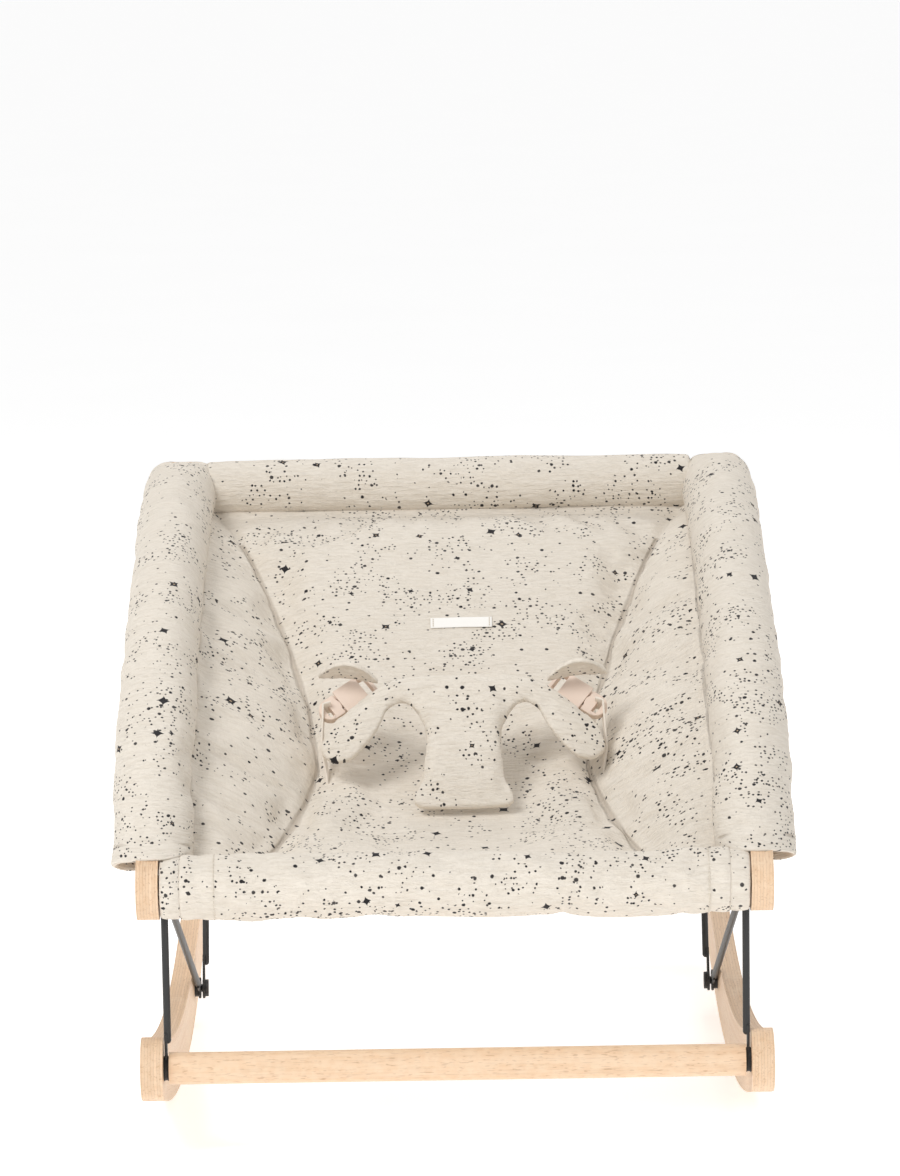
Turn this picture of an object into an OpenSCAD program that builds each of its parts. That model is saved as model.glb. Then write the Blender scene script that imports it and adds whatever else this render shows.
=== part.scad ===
// Folding baby rocker: curved wooden runners, a seat frame held by steel rods, and a padded sling.
// Millimetres. X is across the seat, Y runs from the foot end to the head end, and Z is up.
// A place in the side view is a list [y, z]. On the seat it is [s, n]: s runs along the line
// between the seat rail's two end bores, and n is square to that line, upwards.

/* [Frame] */
// Outer width across the wooden rails
frame_w = 430; // [360:1:520]
// Thickness of the rails
rail_t = 15; // [12:0.5:18]
// Height of the rails, which is also the diameter of their round ends
rail_h = 43; // [36:1:52]
// Radius that all the rails are bent to, at mid height
bend_r = 1157; // [960:1:1500]
// Diameter of the cross bars
dowel_d = 22; // [18:0.5:26.5]

/* [Base] */
// Distance between the two end bores of a runner
base_len = 625; // [520:1:750]
// Length of the flat under each runner, on which the seat rests
rest_flat = 90; // [40:1:140]
// Distance from the front bore to the rod stud, along Y
stud_y = 421; // [350:1:500]

/* [Seat] */
// Distance between the two end bores of a seat rail
seat_len = 590; // [490:1:700]
// Slope of the seat frame
seat_angle = 20.4; // [17:0.1:24.4]
// Distance between the two eyes of a front link
link_len = 126; // [105:1:150]
// Forward lean of the front link
link_lean = 1.8; // [0:0.1:4]

/* [Rods] */
// Diameter of the steel rods
rod_d = 5; // [4:0.1:5.2]
// Thickness of a rod's flattened end
blade_t = 1.8; // [1.2:0.1:1.8]
// Diameter of a rod's eye
eye_d = 16; // [13:0.5:19]
// Diameter of the pivot bolts
bolt_d = 6; // [5:0.1:7]
// Radial running clearance of an eye on its bolt
eye_clear = 0.08; // [0.03:0.01:0.1]
// Thickness of a pivot washer
washer_t = 0.9; // [0.6:0.1:0.9]

/* [Soft parts] */
// Diameter of the padded sleeves on the seat rails
bolster_d = 57; // [54:1:66]
// Diameter of the fabric tube on the front bar
tube_d = 45; // [36:1:50]
// Diameter of the padded roll on the rear bar
roll_d = 44; // [36:1:52]
// Thickness of the padded sling
sling_t = 12; // [8:1:16]
// Depth of the sling's sag
sling_sag = 52; // [35:1:60]

/* [Harness] */
// Distance from the seat rail's front bore to the crotch seam
harness_s = 152; // [120:1:190]
// Slope of the crotch pad from the line of the seat
harness_angle = 33; // [25:1:40]
// Length of the crotch pad from its seam to its top edge
stem_l = 104; // [90:1:120]
// Width of the crotch pad
stem_w = 64; // [50:1:76]
// Thickness of the crotch pad
pad_t = 11; // [8:1:14]
// Sideways place of the harness, as it lies
harness_x = 8; // [-12:1:12]
// Length of the buckle's housing
housing_l = 28; // [26:0.5:34]
// Width of the buckle
buckle_w = 20; // [20:0.5:26]
// Thickness of the buckle
buckle_t = 8; // [7:0.5:10]

/* [Hidden] */

wood = [0.86, 0.70, 0.53];
steel_black = [0.06, 0.06, 0.06];
cloth = [0.91, 0.88, 0.82];
plastic = [0.86, 0.74, 0.63];

fine = 96;
bend_fn = 360;
hull_fn = 32;
gap = 0.1;
clear = 0.3;
through = 1;

rail_in = frame_w / 2 - rail_t;
rail_mid = frame_w / 2 - rail_t / 2;
bolt_r = bolt_d / 2;
hole_slack = 0.05;
head_d = 14;
head_t = 2.4;
head_slack = 0.2;
head_sink = 0.2;
bore_slack = 0.6;
hex_d = 4.6;
washer_slack = 0.3;
bolt_short = 2;
bolt_grip = 26;
end_step = 0.1;

// Outline of the side view, with the front bore of the runners at the start of the sums
function sag(span) = bend_r - sqrt(bend_r * bend_r - span * span / 4);
outer_r = bend_r + rail_h / 2;
flat_cut = outer_r - sqrt(outer_r * outer_r - rest_flat * rest_flat / 4);
link_reach = [-link_len * sin(link_lean), link_len * cos(link_lean)];
front_edge = min(-rail_h / 2, link_reach[0] - tube_d / 2);
rear_edge = base_len + rail_h / 2;
base_front = [-(front_edge + rear_edge) / 2, rail_h / 2 + sag(base_len) - flat_cut];
base_rear = base_front + [base_len, 0];
stud_rise = sqrt(bend_r * bend_r - pow(stud_y - base_len / 2, 2)) - (bend_r - sag(base_len));
stud = base_front + [stud_y, -stud_rise];
seat_front = base_front + link_reach;
seat_rear = seat_front + seat_len * [cos(seat_angle), sin(seat_angle)];

// Places across a pivot, counted inwards from the rail's inner face
link_at = washer_t + gap;
brace_at = link_at + blade_t + gap;
brace_rod_at = brace_at + clear;
strut_at = brace_rod_at + rod_d / 2 + clear;
strut_rod_at = strut_at + rod_d / 2;
link_rod_at = rod_d / 2 + 0.5;
base_bar_half = rail_in - link_at - blade_t - gap - washer_t;
seat_front_half = rail_in - brace_at - blade_t - gap - washer_t;
seat_rear_half = rail_in - strut_at - blade_t - gap - washer_t;
knob_d = 13;
knob_t = 2.5;
stud_t = brace_at - clear;
stud_d = 13;
stud_pin_d = bolt_d - 1;
washer_d = 17;
blade_w = 8;
blade_l = 20;

// Sling: the two end heights, and how far along its lowest point lies
sling_gap = 1.5;
sling_start = tube_d / 2 + sling_gap;
sling_end = seat_len - roll_d / 2 - sling_gap;
sling_front_n = 17;
sling_rear_n = 4;
sling_low = 0.62;
sling_steps = 24;
function sling_n(s) = let (u = s / seat_len)
  sling_front_n + (sling_rear_n - sling_front_n) * u - sling_sag * sin(180 * pow(u, sling_low));

bolster_r = bolster_d / 2;
bolster_start = 8;
bolster_past = 8;
bolster_inset = 3.5;
groove_w = strut_rod_at + rod_d / 2 + 1;
groove_top = eye_d / 2 + 2;
soft_gap = 3.5;
soft_side = rail_mid - bolster_inset - bolster_r - soft_gap;
tube_gap = 4;
tube_half = seat_rear_half - tube_gap;

harness_n = sling_n(harness_s) + pad_t / 2 + 1;
arm_root = [93, 30];
arm_tip = [62, 88];
arm_w = 30;
buckle_u = 90;
buckle_v = 88;
buckle_behind = 14;
buckle_droop = 36;
flap_l = 46;
flap_t = 3;
flap_w = 26;
flap_in = 6;
flap_front = 5;
flap_turn = 8;
strap_w = 18;
strap_t = 2;
strap_h = 20;
strap_out = 10;
strap_behind = 50;
label_s = 385;
label_w = 46;
label_h = 13;
label_t = 0.6;
label_lift = 0.7;
slot_l = 6;
cavity_l = 17;
cavity_t = 4.2;
wall = 2.5;
tongue_l = 17;
blade_in = 14;
arm_travel = 1.5;
arm_thick = 2.6;
blade_slack = 0.8;
plate_t = 6.4;
edge_gap = 0.2;
guide_w = 5;

module side_view(side) {
  mirror([side < 0 ? 1 : 0, 0, 0]) rotate([90, 0, 90]) children();
}

module on_seat(side = 1) {
  translate([0, seat_front[0], seat_front[1]]) rotate([seat_angle, 0, 0]) side_view(side) children();
}

module on_harness() {
  on_seat() translate([harness_s, harness_n, harness_x]) rotate([0, 0, harness_angle]) rotate([90, 0, 0]) children();
}

module on_buckle(side) {
  on_harness() translate([buckle_u, side * buckle_v, buckle_behind])
    rotate([0, 0, side * (90 + buckle_droop)]) children();
}

// Sweeps a profile along the bend from one end bore to the other, less the two trims
module bend(span, trim_start = 0, trim_end = 0) {
  half = asin(span / 2 / bend_r);
  cut_start = trim_start / bend_r * 180 / PI;
  cut_end = trim_end / bend_r * 180 / PI;
  translate([span / 2, -bend_r * cos(half), 0]) rotate([0, 0, 90 - half + cut_end])
    rotate_extrude(angle = 2 * half - cut_start - cut_end, $fn = bend_fn) translate([bend_r, 0]) children();
}

// Outline of a bent rail from its side: it bows towards +n, between the bores at s = 0 and span
module rail_outline(span) {
  half = asin(span / 2 / bend_r);
  reach = 2 * bend_r;
  translate([span / 2, -bend_r * cos(half)]) intersection() {
    difference() {
      circle(r = bend_r + rail_h / 2, $fn = bend_fn);
      circle(r = bend_r - rail_h / 2, $fn = bend_fn);
    }
    polygon([[0, 0], reach * [sin(half), cos(half)], [0, reach], reach * [-sin(half), cos(half)]]);
  }
  for (s = [0, span])
    translate([s, 0]) circle(d = rail_h - 2 * end_step, $fn = fine);
}

// A bent rail with its bores. Its middle plane is at 0
module bent_rail(span) {
  difference() {
    linear_extrude(height = rail_t, center = true) rail_outline(span);
    for (s = [0, span]) {
      translate([s, 0, 0]) cylinder(d = bolt_d + bore_slack, h = rail_t + 2 * through, center = true, $fn = fine);
      translate([s, 0, rail_t / 2 - head_t - head_sink])
        cylinder(d = head_d + 2 * head_slack, h = head_t + through, $fn = fine);
    }
  }
}

module base_rail(side) {
  color(wood) difference() {
    side_view(side) translate([base_front[0], base_front[1], rail_mid])
      mirror([0, 1, 0]) bent_rail(base_len);
    translate([-frame_w, -base_len, -rail_h]) cube([2 * frame_w, 2 * base_len, rail_h]);
    side_view(side) translate([stud[0], stud[1], rail_in - through])
      cylinder(d = stud_pin_d, h = rail_t / 2 + through, $fn = fine);
  }
}

module seat_rail(side) {
  color(wood) on_seat(side) translate([0, 0, rail_mid]) bent_rail(seat_len);
}

// A cross bar with a blind bore in each end
module cross_bar(place, half) {
  color(wood) side_view(1) translate([place[0], place[1], 0]) difference() {
    cylinder(d = dowel_d, h = 2 * half, center = true, $fn = fine);
    for (end = [-1, 1])
      translate([0, 0, end * half]) cylinder(d = bolt_d, h = 2 * bolt_grip, center = true, $fn = fine);
  }
}

// One bolt at each side, from the rail's outer face into the bar that ends at half
module bolts(place, half) {
  outer = frame_w / 2 - head_sink;
  tip = half - bolt_grip + bolt_short;
  color(steel_black) for (side = [-1, 1]) side_view(side) translate([place[0], place[1], 0]) {
    translate([0, 0, tip]) cylinder(d = bolt_d - 2 * hole_slack, h = outer - head_t - tip, $fn = fine);
    difference() {
      translate([0, 0, outer - head_t]) cylinder(d = head_d, h = head_t, $fn = fine);
      translate([0, 0, outer - head_t / 2]) cylinder(d = hex_d, h = head_t, $fn = 6);
    }
  }
}

// Washers on both sides of a pivot, from the rail's face to each start in the list
module washers(place, starts) {
  color(steel_black) for (side = [-1, 1]) side_view(side) for (start = starts)
    translate([place[0], place[1], rail_in - start[0] - start[1]]) difference() {
      cylinder(d = washer_d, h = start[1], $fn = fine);
      translate([0, 0, -through]) cylinder(d = bolt_d + washer_slack, h = start[1] + 2 * through, $fn = fine);
    }
}

// A rod with flattened, drilled ends. blade_at and rod_at count inwards from the rail's inner face
module rod(side, from, to, blade_at, rod_at) {
  span = norm(to - from);
  turn = atan2(to[1] - from[1], to[0] - from[0]);
  color(steel_black) side_view(side) translate([from[0], from[1], rail_in]) rotate([0, 0, turn]) difference() {
    union() {
      translate([blade_l, 0, -rod_at]) rotate([0, 90, 0])
        cylinder(d = rod_d, h = span - 2 * blade_l, $fn = fine);
      for (end = [0, span]) {
        translate([end, 0, -blade_at - blade_t]) cylinder(d = eye_d, h = blade_t, $fn = fine);
        translate([end == 0 ? 0 : span - blade_l - rod_d, -blade_w / 2, -blade_at - blade_t])
          cube([blade_l + rod_d, blade_w, blade_t]);
        translate([end == 0 ? blade_l : span - blade_l, 0, -rod_at]) sphere(d = rod_d, $fn = hull_fn);
      }
    }
    for (end = [0, span]) translate([end, 0, -blade_at - blade_t - through])
      cylinder(r = bolt_r - hole_slack + eye_clear, h = blade_t + 2 * through, $fn = fine);
  }
}

module rod_studs() {
  color(steel_black) for (side = [-1, 1]) side_view(side) translate([stud[0], stud[1], rail_in]) {
    translate([0, 0, -stud_t]) cylinder(d = stud_d, h = stud_t, $fn = fine);
    cylinder(d = stud_pin_d - 2 * hole_slack, h = rail_t / 2 - through, $fn = fine);
  }
}

// Round knobs that hold the rod ends together at the stud. Each pin stops short of the brace
module strut_knobs() {
  pin_end = brace_at + blade_t + clear;
  knob_at = strut_at + blade_t + gap;
  color(steel_black) for (side = [-1, 1]) side_view(side) translate([stud[0], stud[1], rail_in]) {
    translate([0, 0, -knob_at - knob_t]) cylinder(d = knob_d, h = knob_t, $fn = fine);
    translate([0, 0, -knob_at]) cylinder(d = bolt_d - 2 * hole_slack, h = knob_at - pin_end, $fn = fine);
  }
}

module sleeve_on_bar(along, outer_d, half) {
  color(cloth) on_seat() translate([along, 0, 0]) difference() {
    cylinder(d = outer_d, h = 2 * half, center = true, $fn = fine);
    cylinder(d = dowel_d + 2 * clear, h = 2 * half + 2 * through, center = true, $fn = fine);
  }
}

module seat_sling() {
  step = (sling_end - sling_start) / sling_steps;
  places = [for (i = [0:sling_steps]) sling_start + i * step];
  top = [for (s = places) [s, sling_n(s)]];
  under = [for (i = [sling_steps:-1:0]) [places[i], sling_n(places[i]) - sling_t]];
  color(cloth) on_seat() linear_extrude(height = 2 * soft_side, center = true) polygon(concat(top, under));
}

// A padded sleeve round a seat rail, open below on its inner side, where the rods fold in
module side_bolster(side) {
  wall_in = rail_t / 2 + clear;
  color(cloth) on_seat(side) difference() {
    translate([0, 0, rail_mid]) bend(seat_len, bolster_start, -bolster_past) difference() {
      translate([0, -bolster_inset]) circle(r = bolster_r, $fn = fine);
      square([rail_h + 2 * clear, 2 * wall_in], center = true);
      translate([-bolster_r - through, -rail_t / 2 - groove_w])
        square([bolster_r + through + groove_top, groove_w + through]);
    }
    translate([seat_len, 0, rail_in - bolster_d])
      cylinder(d = dowel_d + 2 * clear, h = bolster_d, $fn = fine);
    translate([0, 0, rail_in - bolster_d]) cylinder(d = tube_d + 2 * clear, h = bolster_d, $fn = fine);
    translate([seat_len, 0, rail_mid]) cylinder(d = rail_h + 2 * clear, h = 2 * wall_in, center = true, $fn = fine);
  }
}

module harness_pad() {
  color(cloth) on_harness() linear_extrude(height = pad_t, center = true) union() {
    translate([0, -stem_w / 2]) square([stem_l, stem_w]);
    for (side = [-1, 1]) hull() {
      translate([arm_root[0] - 4, side * arm_root[1]]) circle(d = arm_w, $fn = hull_fn);
      translate([arm_tip[0], side * arm_tip[1]]) circle(d = arm_w, $fn = hull_fn);
    }
  }
}

// A thin cover that stands back over the buckle
module harness_flap(side) {
  color(cloth) on_harness() translate([stem_l + gap, side * (buckle_v - flap_in), -flap_front])
    rotate([0, 0, side * flap_turn]) cube([flap_t, flap_l, flap_w], center = true);
}

module side_strap(side) {
  strap_s = harness_s + strap_behind;
  root = max(sling_n(strap_s - strap_w / 2), sling_n(strap_s + strap_w / 2)) + 1;
  color(cloth) on_seat() translate([strap_s - strap_w / 2, root, harness_x + side * (buckle_v + strap_out)])
    cube([strap_w, strap_h, strap_t]);
}

module label() {
  middle = (sling_n(label_s) + sling_n(label_s + label_h)) / 2;
  color(cloth) on_seat() translate([label_s, middle + label_lift, harness_x])
    rotate([0, 0, atan2(sling_n(label_s + label_h) - sling_n(label_s), label_h)])
    translate([0, 0, -label_w / 2]) cube([label_h, label_t, label_w]);
}

module buckle_housing(side) {
  color(plastic) on_buckle(side) difference() {
    linear_extrude(height = buckle_t, center = true) difference() {
      translate([-housing_l, -buckle_w / 2]) square([housing_l, buckle_w]);
      translate([-housing_l + wall, -buckle_w / 2 + wall]) square([slot_l, buckle_w - 2 * wall]);
    }
    translate([-cavity_l, -buckle_w, -cavity_t / 2]) cube([cavity_l + through, 2 * buckle_w, cavity_t]);
  }
}

module buckle_tongue(side) {
  plate_w = buckle_w - 3;
  start = 1;
  color(plastic) on_buckle(side) union() {
    translate([-blade_in, -guide_w / 2, -(cavity_t - blade_slack) / 2])
      cube([blade_in + 2 * start, guide_w, cavity_t - blade_slack]);
    linear_extrude(height = plate_t, center = true) difference() {
      union() {
        translate([start, -plate_w / 2]) square([tongue_l - plate_w / 2 - start, plate_w]);
        translate([tongue_l - plate_w / 2, 0]) circle(d = plate_w, $fn = fine);
      }
      translate([tongue_l - 8.5, -plate_w / 2 + wall + 0.5]) square([4, plate_w - 2 * wall - 1]);
    }
  }
}

// One of the two sprung arms of a tongue: it moves towards the middle by arm_travel
module buckle_arm(side, edge) {
  inner = guide_w / 2 + arm_travel + edge_gap;
  color(plastic) on_buckle(side) mirror([0, edge < 0 ? 1 : 0, 0])
    translate([-blade_in + 0.5, inner, 0]) linear_extrude(height = cavity_t - blade_slack, center = true) {
      square([blade_in - gap, arm_thick]);
      translate([2, 0]) square([blade_in - slot_l, buckle_w / 2 - edge_gap - inner]);
    }
}

base_rail(-1);  // base_rail_left
base_rail(1);  // base_rail_right
cross_bar(base_front, base_bar_half);  // base_front_bar
cross_bar(base_rear, rail_in);  // base_rear_bar
bolts(base_front, base_bar_half);  // base_front_bolts
bolts(base_rear, rail_in);  // base_rear_bolts
washers(base_front, [[0, washer_t], [link_at + blade_t + gap, washer_t]]);  // base_washers
rod_studs();
rod(-1, base_front, seat_front, link_at, link_rod_at);  // front_link_left
rod(1, base_front, seat_front, link_at, link_rod_at);  // front_link_right
seat_rail(-1);  // seat_rail_left
seat_rail(1);  // seat_rail_right
cross_bar(seat_front, seat_front_half);  // seat_front_bar
cross_bar(seat_rear, seat_rear_half);  // seat_rear_bar
bolts(seat_front, seat_front_half);  // seat_front_bolts
bolts(seat_rear, seat_rear_half);  // seat_rear_bolts
union() {  // seat_washers
  washers(seat_front, [[0, washer_t], [brace_at + blade_t + gap, washer_t]]);
  washers(seat_rear, [[0, strut_at - gap], [strut_at + blade_t + gap, washer_t]]);
}
rod(-1, stud, seat_rear, strut_at, strut_rod_at);  // rear_strut_left
rod(1, stud, seat_rear, strut_at, strut_rod_at);  // rear_strut_right
strut_knobs();
rod(-1, stud, seat_front, brace_at, brace_rod_at);  // brace_left
rod(1, stud, seat_front, brace_at, brace_rod_at);  // brace_right
sleeve_on_bar(0, tube_d, tube_half);  // front_tube
seat_sling();
sleeve_on_bar(seat_len, roll_d, soft_side);  // head_roll
side_bolster(-1);  // side_bolster_left
side_bolster(1);  // side_bolster_right
harness_pad();
harness_flap(-1);  // harness_flap_left
harness_flap(1);  // harness_flap_right
side_strap(-1);  // side_strap_left
side_strap(1);  // side_strap_right
label();
buckle_housing(-1);  // buckle_housing_left
buckle_housing(1);  // buckle_housing_right
buckle_tongue(-1);  // buckle_tongue_left
buckle_tongue(1);  // buckle_tongue_right
buckle_arm(-1, -1);  // buckle_arm_left_low
buckle_arm(-1, 1);  // buckle_arm_left_high
buckle_arm(1, 1);  // buckle_arm_right_low
buckle_arm(1, -1);  // buckle_arm_right_high
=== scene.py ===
"""Looks of a folding baby rocker with a padded cotton sling on a beech frame.

Sizes are in metres. A place on the seat is (s, n, x): s runs from the front bar to the rear bar,
n is square to that line, upwards, and x is across. A place on the harness is (u, v, w): u runs up
the crotch pad from its seam, v is across and w is behind it.
"""

import math

import bmesh
import bpy
import numpy as np
from mathutils import Matrix, Vector, noise


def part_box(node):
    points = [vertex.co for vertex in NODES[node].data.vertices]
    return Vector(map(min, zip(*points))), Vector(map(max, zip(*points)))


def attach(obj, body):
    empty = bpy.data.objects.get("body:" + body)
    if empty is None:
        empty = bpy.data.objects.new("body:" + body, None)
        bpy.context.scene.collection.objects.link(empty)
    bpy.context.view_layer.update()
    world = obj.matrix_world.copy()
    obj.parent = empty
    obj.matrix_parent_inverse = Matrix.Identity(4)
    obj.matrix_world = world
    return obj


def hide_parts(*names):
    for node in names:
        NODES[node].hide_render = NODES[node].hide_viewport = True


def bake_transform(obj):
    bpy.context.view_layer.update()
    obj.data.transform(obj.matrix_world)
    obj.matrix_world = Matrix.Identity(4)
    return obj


bl_info = {
    "name": "Padded baby rocker",
    "version": (1, 0, 0),
    "blender": (4, 5, 0),
    "location": "View3D > Sidebar > Rocker",
    "description": "Builds the fabric, wood and metal of a folding baby rocker on its frame",
    "category": "Add Mesh",
}

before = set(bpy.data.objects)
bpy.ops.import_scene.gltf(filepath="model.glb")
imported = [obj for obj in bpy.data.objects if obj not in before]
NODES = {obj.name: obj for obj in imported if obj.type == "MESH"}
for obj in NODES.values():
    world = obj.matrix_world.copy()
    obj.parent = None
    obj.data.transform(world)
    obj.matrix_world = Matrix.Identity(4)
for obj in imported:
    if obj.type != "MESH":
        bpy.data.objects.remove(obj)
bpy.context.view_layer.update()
SIDES = {"left": -1, "right": 1}

CLOTH_STIFFNESS = 12.0
FINE_RIDGES = (45, 190)
SLOW_FOLDS = (14, 38)


# ---------------------------------------------------------------- settings

class RockerSizes(bpy.types.PropertyGroup):
    """Sizes of the soft parts"""

    sag: bpy.props.FloatProperty(
        name="Sling sag", description="Depth of the sling's sag", default=0.052, unit="LENGTH")
    sling_t: bpy.props.FloatProperty(
        name="Sling thickness", description="Thickness of the padded sling", default=0.012, unit="LENGTH")
    waist: bpy.props.FloatProperty(
        name="Waist", description="Half width of the middle panel at its narrowest", default=0.098,
        unit="LENGTH")
    bend_r: bpy.props.FloatProperty(
        name="Rail bend", description="Radius that the seat rails are bent to", default=1.157, unit="LENGTH")
    bolster_r: bpy.props.FloatProperty(
        name="Bolster radius", description="Radius of the padded sleeves", default=0.0285, unit="LENGTH")
    tube_r: bpy.props.FloatProperty(
        name="Front tube radius", description="Radius of the fabric round the front bar", default=0.0225,
        unit="LENGTH")
    roll_r: bpy.props.FloatProperty(
        name="Head roll radius", description="Radius of the head roll", default=0.022, unit="LENGTH")
    pad_t: bpy.props.FloatProperty(
        name="Pad thickness", description="Thickness of the crotch pad", default=0.011, unit="LENGTH")
    pad_slope: bpy.props.FloatProperty(
        name="Pad slope", description="Slope of the crotch pad from the seat", default=math.radians(33),
        subtype="ANGLE")
    harness_s: bpy.props.FloatProperty(
        name="Crotch seam", description="Distance from the front bar to the crotch seam", default=0.152,
        unit="LENGTH")
    harness_x: bpy.props.FloatProperty(
        name="Harness offset", description="Sideways place of the harness", default=0.008, unit="LENGTH")


class RockerColours(bpy.types.PropertyGroup):
    """Colours of the materials"""

    cotton: bpy.props.FloatVectorProperty(
        name="Cotton", description="Ground of the printed cotton", subtype="COLOR",
        default=(0.83, 0.765, 0.675))
    ink: bpy.props.FloatVectorProperty(
        name="Ink", description="Dots and stars of the print", subtype="COLOR", default=(0.016, 0.014, 0.016))
    beech: bpy.props.FloatVectorProperty(
        name="Beech", description="Pale wood", subtype="COLOR", default=(0.83, 0.60, 0.41))
    steel: bpy.props.FloatVectorProperty(
        name="Steel", description="Black satin coating", subtype="COLOR", default=(0.012, 0.012, 0.013))
    plastic: bpy.props.FloatVectorProperty(
        name="Buckle", description="Moulded buckle", subtype="COLOR", default=(0.68, 0.50, 0.37))
    webbing: bpy.props.FloatVectorProperty(
        name="Webbing", description="Cotton webbing and the label", subtype="COLOR",
        default=(0.78, 0.70, 0.58))


def sizes():
    return bpy.context.scene.rocker_sizes


def colours():
    return bpy.context.scene.rocker_colours


# ---------------------------------------------------------------- places

def centre_of(node):
    low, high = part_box(node)
    return (low + high) / 2


FRONT = centre_of("seat_front_bar")
REAR = centre_of("seat_rear_bar")
SEAT_LEN = (REAR - FRONT).length
ALONG = np.array((REAR - FRONT).normalized())
OUT = np.array((0, -ALONG[2], ALONG[1]))
RAIL_X = centre_of("seat_rail_right").x
RAIL_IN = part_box("seat_rail_right")[0].x
RAIL_HALF = RAIL_X - RAIL_IN


def on_seat(s, n, x):
    """World places of seat places, which may be arrays."""
    s, n, x = np.broadcast_arrays(s, n, x)
    place = np.array(FRONT) + s[..., None] * ALONG + n[..., None] * OUT
    place[..., 0] += x
    return place


def sling_height(s):
    """The middle panel's place above the line of the seat."""
    u = np.clip(np.asarray(s, float) / SEAT_LEN, 0, 1)
    return 0.017 - 0.013 * u - sizes().sag * np.sin(math.pi * u ** 0.62)


def rail_height(s):
    """Height of the bent rail's middle line."""
    r = sizes().bend_r
    half = SEAT_LEN / 2
    return np.sqrt(r * r - (np.asarray(s) - half) ** 2) - math.sqrt(r * r - half * half)


def harness_axes():
    """Origin, u, v and w of the harness in the world."""
    z = sizes()
    lift = float(sling_height(z.harness_s)) + z.pad_t / 2 + 0.001
    origin = on_seat(z.harness_s, lift, z.harness_x)
    u = math.cos(z.pad_slope) * ALONG + math.sin(z.pad_slope) * OUT
    w = math.sin(z.pad_slope) * ALONG - math.cos(z.pad_slope) * OUT
    return origin, u, np.array((1.0, 0, 0)), w


def on_harness(u, v, w):
    """World places of harness places, which may be arrays."""
    origin, du, dv, dw = harness_axes()
    u, v, w = np.broadcast_arrays(u, v, w)
    return origin + u[..., None] * du + v[..., None] * dv + w[..., None] * dw


# ---------------------------------------------------------------- mesh helpers

def set_places(obj, places):
    obj.data.vertices.foreach_set("co", np.asarray(places, np.float32).ravel())
    obj.data.update()


def get_places(obj):
    flat = np.zeros(len(obj.data.vertices) * 3, np.float32)
    obj.data.vertices.foreach_get("co", flat)
    return flat.reshape(-1, 3).astype(float)


def add_object(name, mesh, material):
    obj = bpy.data.objects.new(name, mesh)
    bpy.context.scene.collection.objects.link(obj)
    mesh.materials.append(material)
    mesh.polygons.foreach_set("use_smooth", [True] * len(mesh.polygons))
    return obj


def loft(name, rings, cloth, material, capped=False):
    """A skin through rings of points, each closed by its first point. cloth is its flat place in metres."""
    rows, columns = rings.shape[:2]
    faces = [(i * columns + j, i * columns + j + 1, (i + 1) * columns + j + 1, (i + 1) * columns + j)
             for i in range(rows - 1) for j in range(columns - 1)]
    mesh = bpy.data.meshes.new(name)
    mesh.from_pydata(rings.reshape(-1, 3).tolist(), [], faces)
    flat = mesh.uv_layers.new(name="cloth")
    corners = np.zeros(len(mesh.loops), np.int32)
    mesh.loops.foreach_get("vertex_index", corners)
    flat.data.foreach_set("uv", cloth.reshape(-1, 2)[corners].astype(np.float32).ravel())
    work = bmesh.new()
    work.from_mesh(mesh)
    bmesh.ops.remove_doubles(work, verts=work.verts, dist=1e-5)
    if capped:
        bmesh.ops.holes_fill(work, edges=[e for e in work.edges if e.is_boundary], sides=0)
    bmesh.ops.recalc_face_normals(work, faces=work.faces)
    work.to_mesh(mesh)
    work.free()
    return add_object(name, mesh, material)


def smooth_loop(points, per_span=8):
    """A closed Catmull-Rom curve through 2D points."""
    p = np.array(points, float)
    t = np.linspace(0, 1, per_span, endpoint=False)[:, None]
    spans = []
    for i in range(len(p)):
        a, b, c, d = (p[(i + k - 1) % len(p)] for k in range(4))
        spans.append(0.5 * (2 * b + (c - a) * t + (2 * a - 5 * b + 4 * c - d) * t ** 2
                            + (3 * b - a - 3 * c + d) * t ** 3))
    return np.concatenate(spans)


def pillow(name, outline, thick, voxel, material):
    """A flat pad with this outline in X and Y, remeshed for simulation, its cloth along the same axes."""
    work = bmesh.new()
    face = work.faces.new([work.verts.new((x, y, -thick / 2)) for x, y in outline])
    top = bmesh.ops.extrude_face_region(work, geom=[face])["geom"]
    bmesh.ops.translate(work, verts=[g for g in top if isinstance(g, bmesh.types.BMVert)], vec=(0, 0, thick))
    bmesh.ops.recalc_face_normals(work, faces=work.faces)
    mesh = bpy.data.meshes.new(name)
    work.to_mesh(mesh)
    work.free()
    obj = add_object(name, mesh, material)
    remesh = obj.modifiers.new("Remesh", "REMESH")
    remesh.mode = "VOXEL"
    remesh.voxel_size = voxel
    remesh.use_smooth_shade = True
    bake_modifiers(obj)
    relax(obj, 4)
    places = get_places(obj)
    flat = obj.data.uv_layers.new(name="cloth")
    corners = np.zeros(len(obj.data.loops), np.int32)
    obj.data.loops.foreach_get("vertex_index", corners)
    flat.data.foreach_set("uv", places[corners][:, :2].astype(np.float32).ravel())
    return obj


def bake_modifiers(obj):
    """Applies the modifiers to the mesh."""
    graph = bpy.context.evaluated_depsgraph_get()
    mesh = bpy.data.meshes.new_from_object(obj.evaluated_get(graph), depsgraph=graph)
    obj.modifiers.clear()
    obj.data = mesh


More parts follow.
